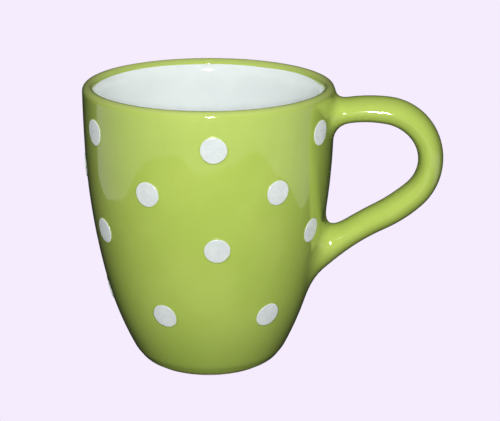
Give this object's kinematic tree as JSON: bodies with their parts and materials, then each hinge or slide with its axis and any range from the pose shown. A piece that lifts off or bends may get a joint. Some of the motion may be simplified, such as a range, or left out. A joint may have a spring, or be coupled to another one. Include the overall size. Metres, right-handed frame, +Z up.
{
  "type": "mug",
  "caption": "Tall tapered stoneware mug with a pulled ear handle, green glaze outside, white lining and raised white dots.",
  "frame": {"origin": "on the mug's axis, in the plane of the foot ring that stands on the table", "axes": "+Z up along the mug's axis, +X from the axis out through the middle of the handle"},
  "size_m": [0.1366, 0.0954, 0.1094],
  "materials": {
    "clay": "bare fired stoneware, matte",
    "green_glaze": "glossy",
    "white_glaze": "glossy",
    "white_dot": "glossy, raised"
  },
  "bodies": {
    "root": {"clay_body": "clay", "handle": "clay", "upper_joint": "clay", "lower_joint": "clay", "green_glaze": "green_glaze", "recess_glaze": "green_glaze", "white_lining": "white_glaze", "top_dot_1": "white_dot", "top_dot_2": "white_dot", "top_dot_3": "white_dot", "top_dot_4": "white_dot", "top_dot_5": "white_dot", "top_dot_6": "white_dot", "upper_dot_2": "white_dot", "upper_dot_3": "white_dot", "upper_dot_4": "white_dot", "upper_dot_5": "white_dot", "upper_dot_6": "white_dot", "middle_dot_1": "white_dot", "middle_dot_2": "white_dot", "middle_dot_3": "white_dot", "middle_dot_4": "white_dot", "middle_dot_5": "white_dot", "middle_dot_6": "white_dot", "lower_dot_1": "white_dot", "lower_dot_2": "white_dot", "lower_dot_3": "white_dot", "lower_dot_4": "white_dot", "lower_dot_5": "white_dot", "lower_dot_6": "white_dot"}
  },
  "joints": []
}
